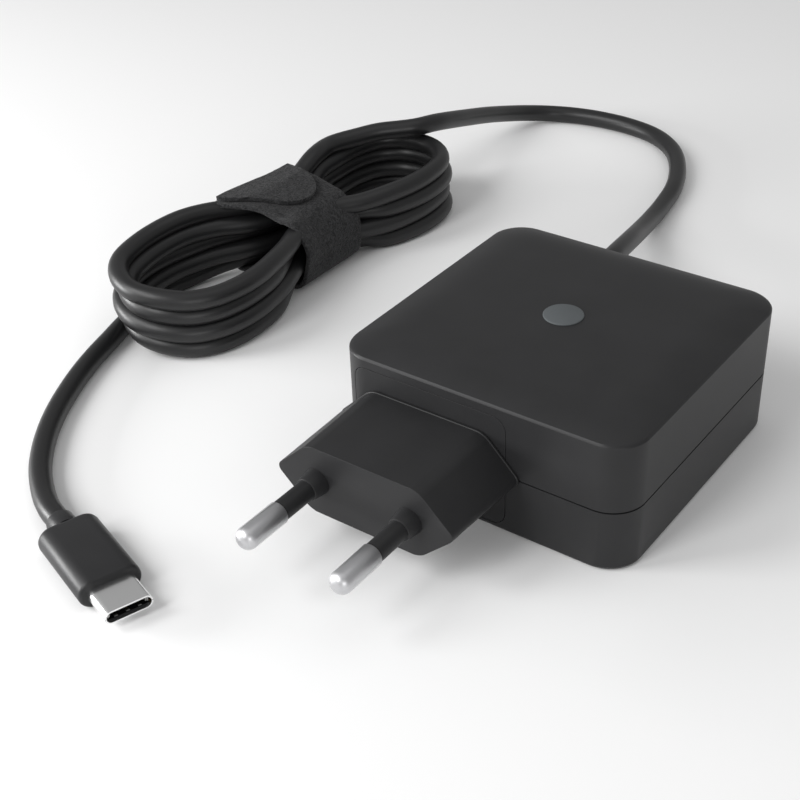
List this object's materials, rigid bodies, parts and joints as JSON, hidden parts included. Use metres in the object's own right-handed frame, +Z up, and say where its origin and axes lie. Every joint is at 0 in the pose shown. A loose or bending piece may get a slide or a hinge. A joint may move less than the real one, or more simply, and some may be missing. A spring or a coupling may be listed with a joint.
{
  "type": "usb wall charger",
  "caption": "Square wall charger with a two-pin Euro plug on its front and a fixed output cord, hanked and strapped, that ends in a USB-C plug.",
  "frame": {"origin": "on the surface the charger lies on, under the middle of the charger measured from the pin tips to the rear wall, without its cord", "axes": "+Z up through the crowned top, -Y the way the mains pins point, +Y towards the wall the cord leaves, +X to the right seen from the pins' side"},
  "size_m": [0.1289, 0.215, 0.0267],
  "materials": {
    "cover_plastic": "fine spark-eroded polycarbonate, satin",
    "badge_plastic": "pad-printed disc, satin",
    "nickel": "turned brass, nickel plated",
    "sleeve_plastic": "moulded, satin",
    "brass": "stamped strip",
    "circuit_board": "solder mask over glass epoxy",
    "fuse_ceramic": "ceramic tube",
    "varistor_epoxy": "dipped epoxy",
    "capacitor_case": "moulded box",
    "capacitor_epoxy": "dipped epoxy",
    "ferrite": "sintered ferrite",
    "copper_wire": "enamelled copper wire",
    "chip_epoxy": "moulded epoxy",
    "capacitor_sleeve": "shrunk sleeve",
    "can_aluminium": "drawn and sheet aluminium",
    "bobbin_plastic": "moulded",
    "insulation_film": "polyester film",
    "thermal_silicone": "soft silicone sheet",
    "wire_jacket": "extruded wire jacket",
    "cord_jacket": "extruded thermoplastic rubber, satin",
    "strap_fabric": "woven hook-and-loop band",
    "plug_steel": "drawn stainless steel, nickel plated",
    "gold_plate": "gold plated"
  },
  "bodies": {
    "charger": {"top_cover": "cover_plastic", "bottom_cover": "cover_plastic", "badge": "badge_plastic", "plug_insert": "cover_plastic", "pin_left": "nickel", "pin_right": "nickel", "pin_sleeve_left": "sleeve_plastic", "pin_sleeve_right": "sleeve_plastic", "contact_strip_left": "brass", "contact_strip_right": "brass", "main_board": "circuit_board", "fuse": "fuse_ceramic", "varistor": "varistor_epoxy", "x_capacitor": "capacitor_case", "y_capacitor": "capacitor_epoxy", "choke_core": "ferrite", "choke_windings": "copper_wire", "bridge_rectifier": "chip_epoxy", "bulk_capacitors": "capacitor_sleeve", "primary_heat_sink": "can_aluminium", "switching_transistor": "chip_epoxy", "transformer_core": "ferrite", "transformer_bobbin": "bobbin_plastic", "transformer_winding": "copper_wire", "controller_chip": "chip_epoxy", "optocoupler": "chip_epoxy", "output_board": "circuit_board", "sync_rectifier": "chip_epoxy", "pd_chip": "chip_epoxy", "output_capacitors": "can_aluminium", "insulation_sheet": "insulation_film", "heat_spreader": "can_aluminium", "thermal_pad": "thermal_silicone", "output_wires": "wire_jacket", "cord_gland": "cover_plastic", "cord_lead": "cord_jacket", "cord_hank": "cord_jacket", "cord_tail": "cord_jacket", "cable_strap": "strap_fabric", "usb_overmould": "cover_plastic", "usb_collar": "cover_plastic", "usb_shell": "plug_steel", "usb_insulator": "bobbin_plastic", "usb_contacts": "gold_plate", "usb_ground_springs": "plug_steel", "usb_board": "circuit_board", "usb_back_shell": "plug_steel"},
    "tab": {"strap_tab": "strap_fabric"},
    "latch_left": {"usb_latch_left": "plug_steel"},
    "latch_right": {"usb_latch_right": "plug_steel"}
  },
  "joints": [
    {"name": "strap_tab_peel", "type": "hinge", "parent": "charger", "child": "tab", "pos_m": [-0.0925, 0.0453, 0.0181], "axis": [0, -1, 0], "range_deg": [0, 90]},
    {"name": "latch_left_spring", "type": "hinge", "parent": "charger", "child": "latch_left", "pos_m": [-0.03416, -0.05609, 0.0027], "axis": [0, 0, 1], "range_deg": [0, 2], "stiffness_Nm_per_rad": 0.02},
    {"name": "latch_right_spring", "type": "hinge", "parent": "charger", "child": "latch_right", "pos_m": [-0.03644, -0.06252, 0.0027], "axis": [0, 0, -1], "range_deg": [0, 2], "stiffness_Nm_per_rad": 0.02}
  ]
}
